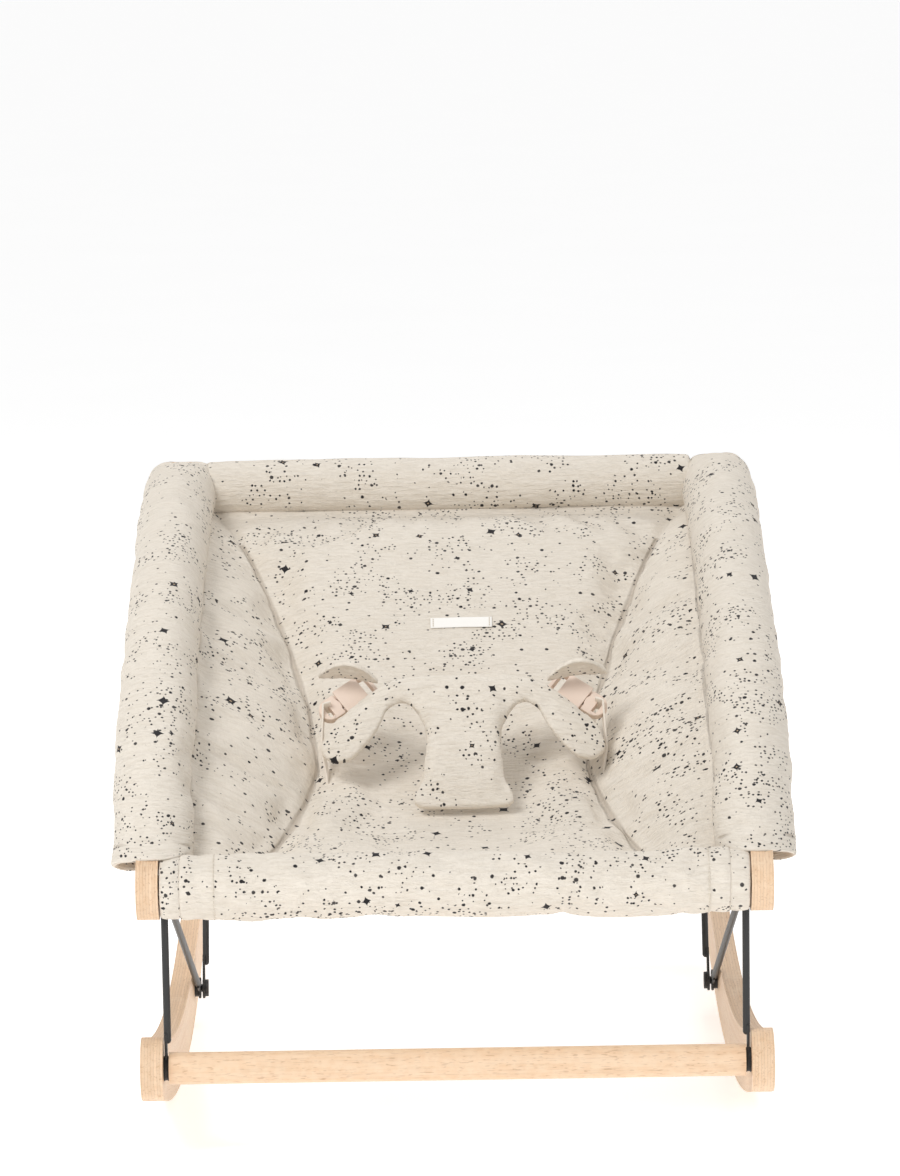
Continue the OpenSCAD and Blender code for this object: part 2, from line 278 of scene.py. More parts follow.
def swell(obj, held, pressure, slack, cap, steps):
    """Fills the piece by cloth simulation. held marks the points that stay, and none moves more than cap."""
    rest = get_places(obj)
    group = obj.vertex_groups.new(name="held")
    group.add(np.nonzero(held)[0].tolist(), 1.0, "REPLACE")
    cloth = obj.modifiers.new("Cloth", "CLOTH")
    cloth.settings.quality = 5
    cloth.settings.mass = 0.2
    cloth.settings.use_pressure = True
    cloth.settings.uniform_pressure_force = pressure
    cloth.settings.vertex_group_mass = "held"
    cloth.settings.shrink_min = -slack
    cloth.settings.tension_stiffness = CLOTH_STIFFNESS
    cloth.settings.compression_stiffness = CLOTH_STIFFNESS
    cloth.settings.shear_stiffness = CLOTH_STIFFNESS / 2
    cloth.settings.bending_stiffness = 0.3
    cloth.settings.effector_weights.gravity = 0
    cloth.point_cache.frame_start = 1
    cloth.point_cache.frame_end = steps
    for step in range(1, steps + 1):
        bpy.context.scene.frame_set(step)
    graph = bpy.context.evaluated_depsgraph_get()
    filled = obj.evaluated_get(graph).to_mesh()
    places = np.array([v.co for v in filled.vertices], float)
    obj.modifiers.clear()
    obj.vertex_groups.clear()
    bpy.context.scene.frame_set(1)
    move = places - rest
    far = np.linalg.norm(move, axis=1, keepdims=True)
    set_places(obj, rest + move * np.minimum(1, cap / np.maximum(far, 1e-9)))


def mark_seam_and_shade(obj, share):
    """Notes where the cloth is sewn, from 0 to 1 at each point: the material paints shade along it, a darker
    line for the crease's shadow, and sinks it in the bump.
    """
    seam = obj.data.attributes.new("seam", "FLOAT", "POINT")
    seam.data.foreach_set("value", np.asarray(share, np.float32))


def relax(obj, repeats):
    """Evens the points out."""
    smooth = obj.modifiers.new("Smooth", "SMOOTH")
    smooth.iterations = repeats
    bake_modifiers(obj)


def refine(obj, crinkle=0.0004, gather=0.0008):
    """One subdivision, then the cloth's own crinkle: fine ridges across it and slow folds."""
    smooth = obj.modifiers.new("Subdivision", "SUBSURF")
    smooth.levels = 1
    smooth.render_levels = 1
    bake_modifiers(obj)
    mesh = obj.data
    flat = np.zeros((len(mesh.vertices), 2))
    layer = mesh.uv_layers["cloth"].data
    for loop, spot in zip(mesh.loops, layer):
        flat[loop.vertex_index] = spot.uv
    (fine_a, fine_b), (slow_a, slow_b) = FINE_RIDGES, SLOW_FOLDS
    moves = [crinkle * noise.noise((a * fine_a, b * fine_b, 3))
             + gather * noise.noise((a * slow_a, b * slow_b, 9)) for a, b in flat]
    normals = np.array([v.normal for v in mesh.vertices], float)
    set_places(obj, get_places(obj) + normals * np.array(moves)[:, None])


def stitches(name, points, normals, length=0.0026):
    """Short raised threads along a line of places."""
    points, normals = np.asarray(points, float), np.asarray(normals, float)
    thick = 0.00035
    sides = 6
    tapered = ((-1, 0.35), (-0.6, 1), (0.6, 1), (1, 0.35))
    work = bmesh.new()
    for a, b, up in zip(points[:-1], points[1:], normals):
        run = b - a
        gap = np.linalg.norm(run)
        run = run / gap
        side = np.cross(up, run)
        middle = (a + b) / 2 + up * thick * 0.6
        half = min(length, 0.8 * gap) / 2
        ends = []
        for along, size in tapered:
            ring = [work.verts.new(middle + run * half * along
                                   + size * thick * (math.cos(t) * side + math.sin(t) * up))
                    for t in np.linspace(0, 2 * math.pi, sides, endpoint=False)]
            ends.append(ring)
        for first, second in zip(ends[:-1], ends[1:]):
            for k in range(sides):
                after = (k + 1) % sides
                work.faces.new((first[k], first[after], second[after], second[k]))
        work.faces.new(ends[0][::-1])
        work.faces.new(ends[-1])
    mesh = bpy.data.meshes.new(name)
    work.to_mesh(mesh)
    work.free()
    return add_object(name, mesh, material("thread"))


def finish_soft(obj, node):
    """Puts a padded piece of the seat in place of its CAD solid."""
    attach(obj, "seat")
    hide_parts(node)


# ---------------------------------------------------------------- shader helpers

def wire(tree, kind, *inputs, out=0, **settings):
    """Adds a node, sets or links its inputs in order, and gives one output."""
    made = tree.nodes.new(kind)
    for key, value in settings.items():
        setattr(made, key, value)
    for socket, value in zip(made.inputs, inputs):
        if value is None:
            continue
        if isinstance(value, bpy.types.NodeSocket):
            tree.links.new(value, socket)
        else:
            socket.default_value = value
    return made.outputs[out]


def maths(tree, operation, *inputs, clamp=False):
    return wire(tree, "ShaderNodeMath", *inputs, operation=operation, use_clamp=clamp)


def vectors(tree, operation, *inputs):
    made = tree.nodes.new("ShaderNodeVectorMath")
    made.operation = operation
    for socket, value in zip([s for s in made.inputs if s.enabled], inputs):
        if isinstance(value, bpy.types.NodeSocket):
            tree.links.new(value, socket)
        else:
            socket.default_value = value
    return next(s for s in made.outputs if s.enabled)


def ramp(tree, value, low, high):
    """0 below low and 1 above high, smoothly."""
    made = tree.nodes.new("ShaderNodeMapRange")
    made.interpolation_type = "SMOOTHSTEP"
    for name, given in (("Value", value), ("From Min", low), ("From Max", high)):
        if isinstance(given, bpy.types.NodeSocket):
            tree.links.new(given, made.inputs[name])
        else:
            made.inputs[name].default_value = given
    return made.outputs["Result"]


def blend_colours(tree, share, first, second, mode="MIX"):
    made = tree.nodes.new("ShaderNodeMix")
    made.data_type = "RGBA"
    made.blend_type = mode
    for socket, given in ((made.inputs["Factor"], share), (made.inputs[6], first), (made.inputs[7], second)):
        if isinstance(given, bpy.types.NodeSocket):
            tree.links.new(given, socket)
        elif isinstance(given, (int, float)):
            socket.default_value = given
        else:
            socket.default_value = (*given, 1.0)
    return made.outputs[2]


def cloud(tree, place, scale, detail=2.0, rough=0.5):
    """Smooth noise from 0 to 1, with its own scale along each axis."""
    made = tree.nodes.new("ShaderNodeTexNoise")
    made.inputs["Scale"].default_value = 1.0
    made.inputs["Detail"].default_value = detail
    made.inputs["Roughness"].default_value = rough
    tree.links.new(vectors(tree, "MULTIPLY", place, scale), made.inputs["Vector"])
    return made.outputs["Fac"]


def new_group(name, inputs, outputs):
    """An empty node group with named sockets."""
    tree = bpy.data.node_groups.new(name, "ShaderNodeTree")
    for label, kind, value in inputs:
        socket = tree.interface.new_socket(name=label, in_out="INPUT", socket_type=kind)
        if value is not None:
            socket.default_value = value
    for label, kind in outputs:
        tree.interface.new_socket(name=label, in_out="OUTPUT", socket_type=kind)
    return tree, tree.nodes.new("NodeGroupInput"), tree.nodes.new("NodeGroupOutput")


def use_group(tree, group, **inputs):
    made = tree.nodes.new("ShaderNodeGroup")
    made.node_tree = bpy.data.node_groups[group]
    for key, value in inputs.items():
        socket = made.inputs[key.replace("_", " ")]
        if isinstance(value, bpy.types.NodeSocket):
            tree.links.new(value, socket)
        else:
            socket.default_value = value
    return made


def new_material(name, roughness, **fixed):
    material = bpy.data.materials.new(name)
    material.use_nodes = True
    shader = material.node_tree.nodes["Principled BSDF"]
    shader.inputs["Roughness"].default_value = roughness
    for key, value in fixed.items():
        shader.inputs[key.replace("_", " ")].default_value = value
    return material, material.node_tree, shader


def add_bump(tree, shader, height, distance, strength=1.0):
    made = tree.nodes.new("ShaderNodeBump")
    made.inputs["Distance"].default_value = distance
    made.inputs["Strength"].default_value = strength
    tree.links.new(height, made.inputs["Height"])
    tree.links.new(made.outputs["Normal"], shader.inputs["Normal"])


def cells(tree, place, per_metre):
    """Scattered cells: how far from the middle, the random colour's parts, and the place from the middle."""
    made = tree.nodes.new("ShaderNodeTexVoronoi")
    made.voronoi_dimensions = "2D"
    made.inputs["Scale"].default_value = per_metre
    tree.links.new(place, made.inputs["Vector"])
    parts = tree.nodes.new("ShaderNodeSeparateColor")
    tree.links.new(made.outputs["Color"], parts.inputs[0])
    local = vectors(tree, "SUBTRACT", place, made.outputs["Position"])
    return made.outputs["Distance"], parts.outputs, vectors(tree, "SCALE", local, float(per_metre))


# ---------------------------------------------------------------- shared effects

def build_print_group():
    """Dots in loose clusters, and four-pointed stars, scattered over the cloth."""
    tree, given, gives = new_group(
        "star_print", [("Cloth", "NodeSocketVector", None)],
        [("Ink", "NodeSocketFloat"), ("Pale", "NodeSocketFloat")])
    wander = tree.nodes.new("ShaderNodeTexNoise")
    wander.inputs["Scale"].default_value = 420
    tree.links.new(given.outputs["Cloth"], wander.inputs["Vector"])
    shift = vectors(tree, "SUBTRACT", wander.outputs["Color"], (0.5, 0.5, 0.5))
    place = vectors(tree, "MULTIPLY_ADD", shift, (0.0011, 0.0011, 0), given.outputs["Cloth"])
    drift = cloud(tree, given.outputs["Cloth"], (22, 22, 22), detail=3.0, rough=0.6)
    crowd = ramp(tree, drift, 0.46, 0.60)
    fine_dots = (275, 0.12, 0.265, 0.03, 0.58)
    bold_dots = (112, 0.085, 0.170, 0.08, 0.50)
    ink = None
    for per_metre, small, large, sparse, dense in (fine_dots, bold_dots):
        far, parts, _ = cells(tree, place, per_metre)
        radius = maths(tree, "MULTIPLY_ADD", parts[0], large - small, small)
        spot = ramp(tree, maths(tree, "SUBTRACT", radius, far), -0.03, 0.03)
        wanted = maths(tree, "MULTIPLY_ADD", crowd, dense - sparse, sparse)
        kept = maths(tree, "LESS_THAN", parts[1], wanted)
        shade = maths(tree, "MULTIPLY_ADD", parts[2], 0.10, 0.93, clamp=True)
        layer = maths(tree, "MULTIPLY", maths(tree, "MULTIPLY", spot, kept), shade)
        ink = layer if ink is None else maths(tree, "MAXIMUM", ink, layer)
    stars_per_metre = 26
    _, parts, local = cells(tree, place, stars_per_metre)
    turned = tree.nodes.new("ShaderNodeVectorRotate")
    turned.rotation_type = "Z_AXIS"
    tree.links.new(local, turned.inputs["Vector"])
    tree.links.new(maths(tree, "MULTIPLY", parts[2], 3.0), turned.inputs["Angle"])
    axes = tree.nodes.new("ShaderNodeSeparateXYZ")
    tree.links.new(vectors(tree, "ABSOLUTE", turned.outputs[0]), axes.inputs[0])
    hollow = 0.62
    arms = maths(tree, "ADD", maths(tree, "POWER", axes.outputs[0], hollow),
                 maths(tree, "POWER", axes.outputs[1], hollow))
    reach = maths(tree, "MULTIPLY_ADD", parts[0], 0.12, 0.19)
    star = ramp(tree, maths(tree, "SUBTRACT", reach, arms), -0.012, 0.012)
    star = maths(tree, "MULTIPLY", star, maths(tree, "LESS_THAN", parts[1], 0.40))
    heart = ramp(tree, maths(tree, "SUBTRACT", maths(tree, "MULTIPLY", reach, 0.42), arms), -0.01, 0.01)
    heart = maths(tree, "MULTIPLY", heart, maths(tree, "LESS_THAN", parts[1], 0.18))
    tree.links.new(maths(tree, "MAXIMUM", ink, star), gives.inputs["Ink"])
    tree.links.new(heart, gives.inputs["Pale"])


def build_gauze_group():
    """Crinkled double gauze: ridges across the cloth, the weave between them, and a tone that is painted
    shade, darker in the ridges' troughs, mixed with slow random changes.
    """
    tree, given, gives = new_group(
        "gauze", [("Cloth", "NodeSocketVector", None), ("Ridges", "NodeSocketFloat", 1.0)],
        [("Height", "NodeSocketFloat"), ("Trough_shade_and_tone", "NodeSocketFloat"), ("Rough", "NodeSocketFloat")])
    cloth = given.outputs["Cloth"]
    ridges = cloud(tree, cloth, (75, 420, 1), detail=3.0, rough=0.62)
    fine = cloud(tree, cloth, (260, 1500, 1), detail=2.0)
    slow = cloud(tree, cloth, (16, 30, 1), detail=2.0)
    waves = []
    for direction in ("X", "Y"):
        thread = tree.nodes.new("ShaderNodeTexWave")
        thread.bands_direction = direction
        thread.inputs["Scale"].default_value = 330
        thread.inputs["Distortion"].default_value = 1.6
        thread.inputs["Detail"].default_value = 1.0
        tree.links.new(cloth, thread.inputs["Vector"])
        waves.append(thread.outputs["Fac"])
    weave = maths(tree, "MAXIMUM", *waves)
    height = maths(tree, "MULTIPLY", ridges, given.outputs["Ridges"])
    height = maths(tree, "MULTIPLY_ADD", fine, 0.35, height)
    height = maths(tree, "MULTIPLY_ADD", weave, 0.10, height)
    # Painted shade: the tone is darker in the troughs of the crinkle ridges, and slow noise adds random
    # changes of tone.
    tone = maths(tree, "MULTIPLY_ADD", ramp(tree, ridges, 0.30, 0.62), 0.6,
                 maths(tree, "MULTIPLY", slow, 0.4))
    tree.links.new(height, gives.inputs["Height"])
    tree.links.new(tone, gives.inputs["Trough_shade_and_tone"])
    tree.links.new(maths(tree, "MULTIPLY_ADD", fine, 0.2, 0.72), gives.inputs["Rough"])


def build_beech_group():
    """Beech: long grain, short dark flecks and, in the bent rails, the glue lines between plies."""
    tree, given, gives = new_group(
        "beech",
        [("Grain", "NodeSocketVector", None), ("Across", "NodeSocketFloat", 0.0),
         ("Plies", "NodeSocketFloat", 0.0), ("Colour", "NodeSocketColor", (0.7, 0.5, 0.3, 1))],
        [("Colour", "NodeSocketColor"), ("Rough", "NodeSocketFloat"), ("Height", "NodeSocketFloat")])
    grain = given.outputs["Grain"]
    long = cloud(tree, grain, (5, 260, 260), detail=4.0, rough=0.6)
    broad = cloud(tree, grain, (2.5, 40, 40), detail=2.0)
    fleck_noise = cloud(tree, grain, (170, 900, 900), detail=1.0)
    flecks = ramp(tree, fleck_noise, 0.60, 0.70)
    pores = ramp(tree, cloud(tree, grain, (60, 2200, 2200), detail=1.0), 0.58, 0.72)
    light = blend_colours(tree, ramp(tree, long, 0.25, 0.75), given.outputs["Colour"], (0.90, 0.82, 0.72),
                          "MULTIPLY")
    toned = blend_colours(tree, maths(tree, "MULTIPLY", broad, 0.55), light, (0.86, 0.66, 0.47))
    spotted = blend_colours(tree, maths(tree, "MULTIPLY", flecks, 0.45), toned, (0.42, 0.22, 0.11))
    spotted = blend_colours(tree, maths(tree, "MULTIPLY", pores, 0.22), spotted, (0.40, 0.24, 0.13))
    ply_t = 0.0021
    ply = maths(tree, "MULTIPLY", given.outputs["Across"], 1 / ply_t)
    edge = maths(tree, "ABSOLUTE", maths(tree, "SUBTRACT", maths(tree, "FRACT", ply), 0.5))
    line = maths(tree, "MULTIPLY", ramp(tree, edge, 0.42, 0.49), given.outputs["Plies"])
    band = tree.nodes.new("ShaderNodeTexWhiteNoise")
    band.noise_dimensions = "1D"
    tree.links.new(maths(tree, "FLOOR", ply), band.inputs["W"])
    banded = blend_colours(tree, maths(tree, "MULTIPLY", maths(tree, "MULTIPLY", band.outputs["Value"], 0.30),
                                       given.outputs["Plies"]), spotted, (0.55, 0.36, 0.21))
    lined = blend_colours(tree, maths(tree, "MULTIPLY", line, 0.5), banded, (0.34, 0.19, 0.10))
    rough = maths(tree, "MULTIPLY_ADD", long, 0.18, 0.40)
    height = maths(tree, "SUBTRACT", long, maths(tree, "MULTIPLY", pores, 0.6))
    height = maths(tree, "SUBTRACT", height, maths(tree, "MULTIPLY", line, 0.5))
    tree.links.new(lined, gives.inputs["Colour"])
    tree.links.new(rough, gives.inputs["Rough"])
    tree.links.new(height, gives.inputs["Height"])


def build_wear_group():
    """Where handling has polished the edges: a mask from how sharply the surface turns."""
    tree, given, gives = new_group(
        "edge_wear", [("Place", "NodeSocketVector", None), ("Amount", "NodeSocketFloat", 0.5)],
        [("Wear", "NodeSocketFloat")])
    surface = tree.nodes.new("ShaderNodeNewGeometry")
    edge = ramp(tree, surface.outputs["Pointiness"], 0.505, 0.56)
    broken = ramp(tree, cloud(tree, given.outputs["Place"], (160, 160, 160), detail=4.0), 0.35, 0.65)
    worn = maths(tree, "MULTIPLY", maths(tree, "MULTIPLY", edge, broken), given.outputs["Amount"], clamp=True)
    tree.links.new(worn, gives.inputs["Wear"])


def build_webbing_group():
    """Narrow woven tape: slanting ribs and a fine fuzz."""
    tree, given, gives = new_group(
        "webbing", [("Cloth", "NodeSocketVector", None), ("Pitch", "NodeSocketFloat", 0.0014)],
        [("Height", "NodeSocketFloat"), ("Shade", "NodeSocketFloat")])
    axes = tree.nodes.new("ShaderNodeSeparateXYZ")
    tree.links.new(given.outputs["Cloth"], axes.inputs[0])
    rib = maths(tree, "DIVIDE", axes.outputs[0], given.outputs["Pitch"])
    row = maths(tree, "DIVIDE", axes.outputs[1], given.outputs["Pitch"])
    zig = maths(tree, "PINGPONG", rib, 1.0)
    slant = maths(tree, "SINE", maths(tree, "MULTIPLY", maths(tree, "ADD", row, zig), 2 * math.pi))
    height = maths(tree, "MULTIPLY_ADD", slant, 0.5, 0.5)
    fuzz = cloud(tree, given.outputs["Cloth"], (1800, 1800, 1), detail=2.0)
    tree.links.new(maths(tree, "MULTIPLY_ADD", fuzz, 0.4, height), gives.inputs["Height"])
    tree.links.new(maths(tree, "MULTIPLY_ADD", fuzz, 0.3, maths(tree, "MULTIPLY", height, 0.5)),
                   gives.inputs["Shade"])


# ---------------------------------------------------------------- materials

def flat_place(tree):
    made = tree.nodes.new("ShaderNodeUVMap")
    made.uv_map = "cloth"
    return made.outputs[0]


def own_place(tree):
    return tree.nodes.new("ShaderNodeTexCoord").outputs["Object"]


def make_cotton(name, ridges):
    """Crinkled cotton gauze with the star print, with painted shade in the crinkle troughs and along the
    seams.
    """
    c = colours()
    material, tree, shader = new_material(name, 0.85, Sheen_Weight=0.06, Sheen_Roughness=0.6,
                                          Specular_IOR_Level=0.25)
    cloth = flat_place(tree)
    gauze = use_group(tree, "gauze", Cloth=cloth, Ridges=ridges)
    # Painted shade in the crinkle troughs, mixed with random tone: the ground darkens where the gauze's
    # ridges fall low.
    ground = blend_colours(tree, gauze.outputs["Trough_shade_and_tone"], [v * s for v, s in zip(c.cotton, (0.88, 0.86, 0.83))],
                           tuple(c.cotton))
    # Painted shade along the seams: the seam attribute darkens the ground towards brown for the crease's
    # shadow, and the same mask sinks the bump.
    sewn = tree.nodes.new("ShaderNodeAttribute")
    sewn.attribute_name = "seam"
    seam = ramp(tree, sewn.outputs["Fac"], 0.35, 0.95)
    ground = blend_colours(tree, maths(tree, "MULTIPLY", seam, 0.55), ground,
                           [v * s for v, s in zip(c.cotton, (0.52, 0.46, 0.40))])
    stars = use_group(tree, "star_print", Cloth=cloth)
    colour = blend_colours(tree, stars.outputs["Ink"], ground, tuple(c.ink))
    colour = blend_colours(tree, stars.outputs["Pale"], colour, (0.45, 0.33, 0.22))
    tree.links.new(colour, shader.inputs["Base Color"])
    tree.links.new(gauze.outputs["Rough"], shader.inputs["Roughness"])
    add_bump(tree, shader, maths(tree, "SUBTRACT", gauze.outputs["Height"], seam), 0.0016)
    return material


def make_beech(name, plies, centre=None):
    """Wood. centre is the middle of a bent rail's arc; without it the grain runs across the seat."""
    material, tree, shader = new_material(name, 0.5, Coat_Weight=0.12, Coat_Roughness=0.35,
                                          Specular_IOR_Level=0.4)
    place = own_place(tree)
    axes = tree.nodes.new("ShaderNodeSeparateXYZ")
    tree.links.new(place, axes.inputs[0])
    x, y, z = axes.outputs
    if centre is None:
        grain = wire(tree, "ShaderNodeCombineXYZ", x, y, z)
    else:
        dy = maths(tree, "SUBTRACT", y, centre[0])
        dz = maths(tree, "SUBTRACT", z, centre[1])
        radius = maths(tree, "SQRT", maths(tree, "ADD", maths(tree, "MULTIPLY", dy, dy),
                                           maths(tree, "MULTIPLY", dz, dz)))
        run = maths(tree, "MULTIPLY", maths(tree, "ARCTAN2", dy, dz), sizes().bend_r)
        grain = wire(tree, "ShaderNodeCombineXYZ", run, radius, x)
    wood = use_group(tree, "beech", Grain=grain, Across=x, Plies=plies, Colour=(*colours().beech, 1))
    wear = use_group(tree, "edge_wear", Place=place, Amount=0.5)
    colour = blend_colours(tree, wear.outputs["Wear"], wood.outputs["Colour"], (0.86, 0.68, 0.50))
    tree.links.new(colour, shader.inputs["Base Color"])
    tree.links.new(wood.outputs["Rough"], shader.inputs["Roughness"])
    add_bump(tree, shader, wood.outputs["Height"], 0.00025, 0.7)
    return material


def make_steel():
    material, tree, shader = new_material("black_steel", 0.35, Coat_Weight=0.1, Coat_Roughness=0.3,
                                          Specular_IOR_Level=0.3)
    place = own_place(tree)
    wear = use_group(tree, "edge_wear", Place=place, Amount=0.55)
    skin = cloud(tree, place, (900, 900, 900), detail=3.0)
    smudge = cloud(tree, place, (45, 45, 45), detail=4.0)
    colour = blend_colours(tree, wear.outputs["Wear"], tuple(colours().steel), (0.22, 0.21, 0.20))
    tree.links.new(colour, shader.inputs["Base Color"])
    tree.links.new(maths(tree, "MULTIPLY_ADD", smudge, 0.25, 0.24), shader.inputs["Roughness"])
    tree.links.new(maths(tree, "MULTIPLY", wear.outputs["Wear"], 0.8), shader.inputs["Metallic"])
    add_bump(tree, shader, skin, 0.00008)
    return material


def make_plastic():
    material, tree, shader = new_material("buckle_plastic", 0.45, Subsurface_Weight=0.08,
                                          Subsurface_Radius=(0.004, 0.002, 0.001))
    place = own_place(tree)
    wear = use_group(tree, "edge_wear", Place=place, Amount=0.5)
    grit = cloud(tree, place, (2600, 2600, 2600), detail=2.0)
    flow = cloud(tree, place, (90, 90, 30), detail=3.0)
    base = tuple(colours().plastic)
    colour = blend_colours(tree, flow, [v * 0.86 for v in base], [min(1, v * 1.08) for v in base])
    colour = blend_colours(tree, wear.outputs["Wear"], colour, (0.86, 0.74, 0.62))
    tree.links.new(colour, shader.inputs["Base Color"])
    tree.links.new(maths(tree, "MULTIPLY_ADD", grit, 0.2, 0.34), shader.inputs["Roughness"])
    add_bump(tree, shader, grit, 0.00012)
    return material


def make_webbing(name, pitch, tone):
    material, tree, shader = new_material(name, 0.8, Sheen_Weight=0.2)
    tape = use_group(tree, "webbing", Cloth=flat_place(tree), Pitch=pitch)
    base = [v * tone for v in colours().webbing]
    colour = blend_colours(tree, tape.outputs["Shade"], [v * 0.70 for v in base], base)
    tree.links.new(colour, shader.inputs["Base Color"])
    add_bump(tree, shader, tape.outputs["Height"], pitch * 0.3)
    return material


def make_thread():
    material, tree, shader = new_material("thread", 0.6, Sheen_Weight=0.3)
    twist = cloud(tree, own_place(tree), (5000, 5000, 900), detail=1.0)
    base = tuple(colours().webbing)
    tree.links.new(blend_colours(tree, twist, [v * 0.75 for v in base], base), shader.inputs["Base Color"])
    return material


MAKERS = {
    "cotton": lambda: make_cotton("cotton", 1.0),
    "cotton_flap": lambda: make_cotton("cotton_flap", 0.8),
    "black_steel": make_steel,
    "buckle_plastic": make_plastic,
    "webbing": lambda: make_webbing("webbing", 0.0014, 0.90),
    "woven_label": lambda: make_webbing("woven_label", 0.0006, 0.78),
    "thread": make_thread,
}


def material(name):
    """A material by name, made when it is first asked for."""
    return bpy.data.materials.get(name) or MAKERS[name]()


# ---------------------------------------------------------------- hard pieces

def dress(names, finish, edge, segments=2):
    """Gives CAD nodes their finish, and eases their edges by a small bevel."""
    for name in names:
        obj = NODES[name]
        obj.data.materials.clear()
        obj.data.materials.append(finish)
        weld = obj.modifiers.new("Weld", "WELD")
        weld.merge_threshold = 1e-6
        bevel = obj.modifiers.new("Ease", "BEVEL")
        bevel.width = edge
        bevel.segments = segments
        bevel.limit_method = "ANGLE"
        bevel.angle_limit = math.radians(40)
        bevel.harden_normals = False
        normals = obj.modifiers.new("Normals", "WEIGHTED_NORMAL")
        normals.keep_sharp = False


class ROCKER_OT_wood(bpy.types.Operator):
    """Dress the rails and the cross bars in beech"""

    bl_idname = "rocker.wood"
    bl_label = "Wood"

    def execute(self, context):
        z = sizes()
        for part, turned in (("base", -1), ("seat", 1)):
            low = centre_of(f"{part}_front_bar")
            high = centre_of(f"{part}_rear_bar")
            middle = (low + high) / 2
            half = (high - low).length / 2
            run = (high - low).normalized()
            square = Vector((0, -run.z, run.y))
            arc = middle - turned * square * math.sqrt(z.bend_r ** 2 - half ** 2)
            rails = make_beech(f"beech_{part}_rail", 1.0, (arc.y, arc.z))
            dress([f"{part}_rail_{side}" for side in SIDES], rails, 0.0016, 3)
        bars = make_beech("beech_bar", 0.0)
        dress([f"{part}_{end}_bar" for part in ("base", "seat") for end in ("front", "rear")], bars, 0.0008)
        return {"FINISHED"}


class ROCKER_OT_steel(bpy.types.Operator):
    """Dress the rods, bolts, washers, studs and knobs in black satin steel"""

    bl_idname = "rocker.steel"
    bl_label = "Steel"

    def execute(self, context):
        rods = [f"{kind}_{side}" for kind in ("front_link", "rear_strut", "brace") for side in SIDES]
        bolts = [f"{part}_{end}_bolts" for part in ("base", "seat") for end in ("front", "rear")]
        dress(rods + bolts + ["strut_knobs", "rod_studs"], material("black_steel"), 0.00035)
        dress(["base_washers", "seat_washers"], material("black_steel"), 0.0002)
        return {"FINISHED"}


class ROCKER_OT_buckles(bpy.types.Operator):
    """Dress the side-release buckles in moulded plastic"""

    bl_idname = "rocker.buckles"
    bl_label = "Buckles"

    def execute(self, context):
        names = [f"buckle_{kind}_{side}" for kind in ("housing", "tongue") for side in SIDES]
        names += [f"buckle_arm_{side}_{edge}" for side in SIDES for edge in ("low", "high")]
        dress(names, material("buckle_plastic"), 0.0006, 3)
        return {"FINISHED"}


# ---------------------------------------------------------------- soft pieces

def waist_line(s):
    """Half width of the middle panel, between its two seams."""
    waist = sizes().waist
    narrow, head, front = 0.222, 0.545, 0.03
    head_half, front_half = 0.172, 0.146
    s = np.asarray(s, float)
    back = np.clip((s - narrow) / (head - narrow), 0, 1.1)
    fore = np.clip((narrow - s) / (narrow - front), 0, 1)
    return waist + (head_half - waist) * back ** 1.6 + (front_half - waist) * fore ** 1.35


